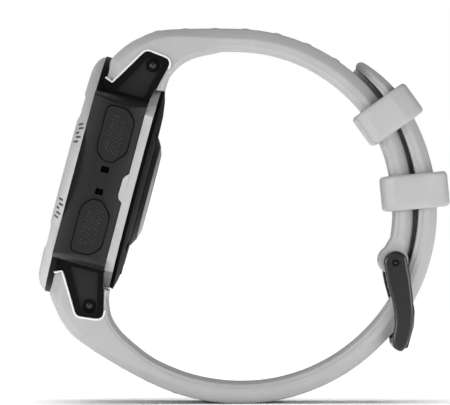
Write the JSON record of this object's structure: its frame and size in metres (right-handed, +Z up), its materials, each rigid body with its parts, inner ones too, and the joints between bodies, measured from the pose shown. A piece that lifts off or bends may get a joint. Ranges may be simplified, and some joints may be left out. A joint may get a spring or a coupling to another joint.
{
  "type": "gps running watch",
  "caption": "Rugged round sports watch on a buckled silicone strap, with side push buttons, optical sensor back, pin buckle and sliding keepers",
  "frame": {"origin": "middle of the buckled loop, on the watch's mid plane: the middle of the space that the wrist fills", "axes": "+Z up with the strap loop upright, -X towards the watch face, which leans back 14.8 degrees, +Y along the wrist towards the side with three buttons"},
  "size_m": [0.0676, 0.0398, 0.0615],
  "materials": {
    "housing_polymer": "matte black fibre-reinforced polymer",
    "bezel_polymer": "light grey matte polymer",
    "lens_glass": "clear strengthened glass",
    "rubber_seal": "black rubber seal",
    "display": "unlit reflective display",
    "dial": "printed black dial ring",
    "inner_plastic": "plain inner plastic",
    "antenna": "stamped antenna",
    "flex": "amber flexible circuit",
    "board": "green circuit board",
    "steel": "stainless steel",
    "cell": "foil battery cell",
    "cover_polymer": "black back cover",
    "sensor_polymer": "smoked translucent polymer",
    "gold": "gold plated contact",
    "button_rubber": "black cap with a cross-hatched pad",
    "strap_silicone": "light grey silicone",
    "buckle_polymer": "dark grey buckle"
  },
  "bodies": {
    "watch": {"housing": "housing_polymer", "bezel": "bezel_polymer", "lens": "lens_glass", "lens_gasket": "rubber_seal", "display_panel": "display", "dial_ring": "dial", "sub_display": "display", "sub_ring": "steel", "inner_frame": "inner_plastic", "antenna_ring": "antenna", "display_flex": "flex", "main_board": "board", "board_parts": "steel", "battery": "cell", "battery_pad": "rubber_seal", "vibration_motor": "steel", "side_switches": "steel", "port_meshes": "steel", "rear_frame": "bezel_polymer", "back_cover": "cover_polymer", "back_gasket": "rubber_seal", "back_screws": "steel", "sensor_window": "sensor_polymer", "sensor_board": "board", "sensor_leds": "gold", "charge_port": "inner_plastic", "charge_pins": "gold", "lug_sleeves": "steel", "lug_screws": "steel", "upper_strap": "strap_silicone", "lower_strap": "strap_silicone"},
    "push_a": {"button_a": "button_rubber", "seal_a": "rubber_seal", "clip_a": "steel"},
    "push_b": {"button_b": "button_rubber", "seal_b": "rubber_seal", "clip_b": "steel"},
    "push_c": {"button_c": "button_rubber", "seal_c": "rubber_seal", "clip_c": "steel"},
    "push_d": {"button_d": "button_rubber", "seal_d": "rubber_seal", "clip_d": "steel"},
    "push_e": {"button_e": "button_rubber", "seal_e": "rubber_seal", "clip_e": "steel"},
    "buckle": {"buckle_frame": "buckle_polymer", "buckle_pin": "steel"},
    "tongue": {"buckle_tongue": "buckle_polymer"},
    "loop_1": {"keeper_1": "strap_silicone"},
    "loop_2": {"keeper_2": "strap_silicone"}
  },
  "joints": [
    {"name": "press_a", "type": "slide", "parent": "watch", "child": "push_a", "axis": [0, 1, 0], "range_m": [0, 0.0006], "stiffness_N_per_m": 4000, "springref_m": -0.0001},
    {"name": "press_b", "type": "slide", "parent": "watch", "child": "push_b", "axis": [0, 1, 0], "range_m": [0, 0.0006], "stiffness_N_per_m": 4000, "springref_m": -0.0001},
    {"name": "press_c", "type": "slide", "parent": "watch", "child": "push_c", "axis": [0, -1, 0], "range_m": [0, 0.0006], "stiffness_N_per_m": 4000, "springref_m": -0.0001},
    {"name": "press_d", "type": "slide", "parent": "watch", "child": "push_d", "axis": [0, -1, 0], "range_m": [0, 0.0006], "stiffness_N_per_m": 4000, "springref_m": -0.0001},
    {"name": "press_e", "type": "slide", "parent": "watch", "child": "push_e", "axis": [0, -1, 0], "range_m": [0, 0.0006], "stiffness_N_per_m": 4000, "springref_m": -0.0001},
    {"name": "buckle_swing", "type": "hinge", "parent": "watch", "child": "buckle", "pos_m": [0.02484, 0, -0.00779], "axis": [0, -1, 0], "range_deg": [-2, 3]},
    {"name": "tongue_swing", "type": "hinge", "parent": "buckle", "child": "tongue", "pos_m": [0.02484, 0, -0.00779], "axis": [0, -1, 0], "range_deg": [0, 2]},
    {"name": "loop_1_slide", "type": "hinge", "parent": "watch", "child": "loop_1", "pos_m": [0.00261, 0, 0.00145], "axis": [0, -1, 0], "range_deg": [-5, 4]},
    {"name": "loop_2_slide", "type": "hinge", "parent": "watch", "child": "loop_2", "pos_m": [0.00261, 0, 0.00145], "axis": [0, -1, 0], "range_deg": [-5, 5]}
  ]
}
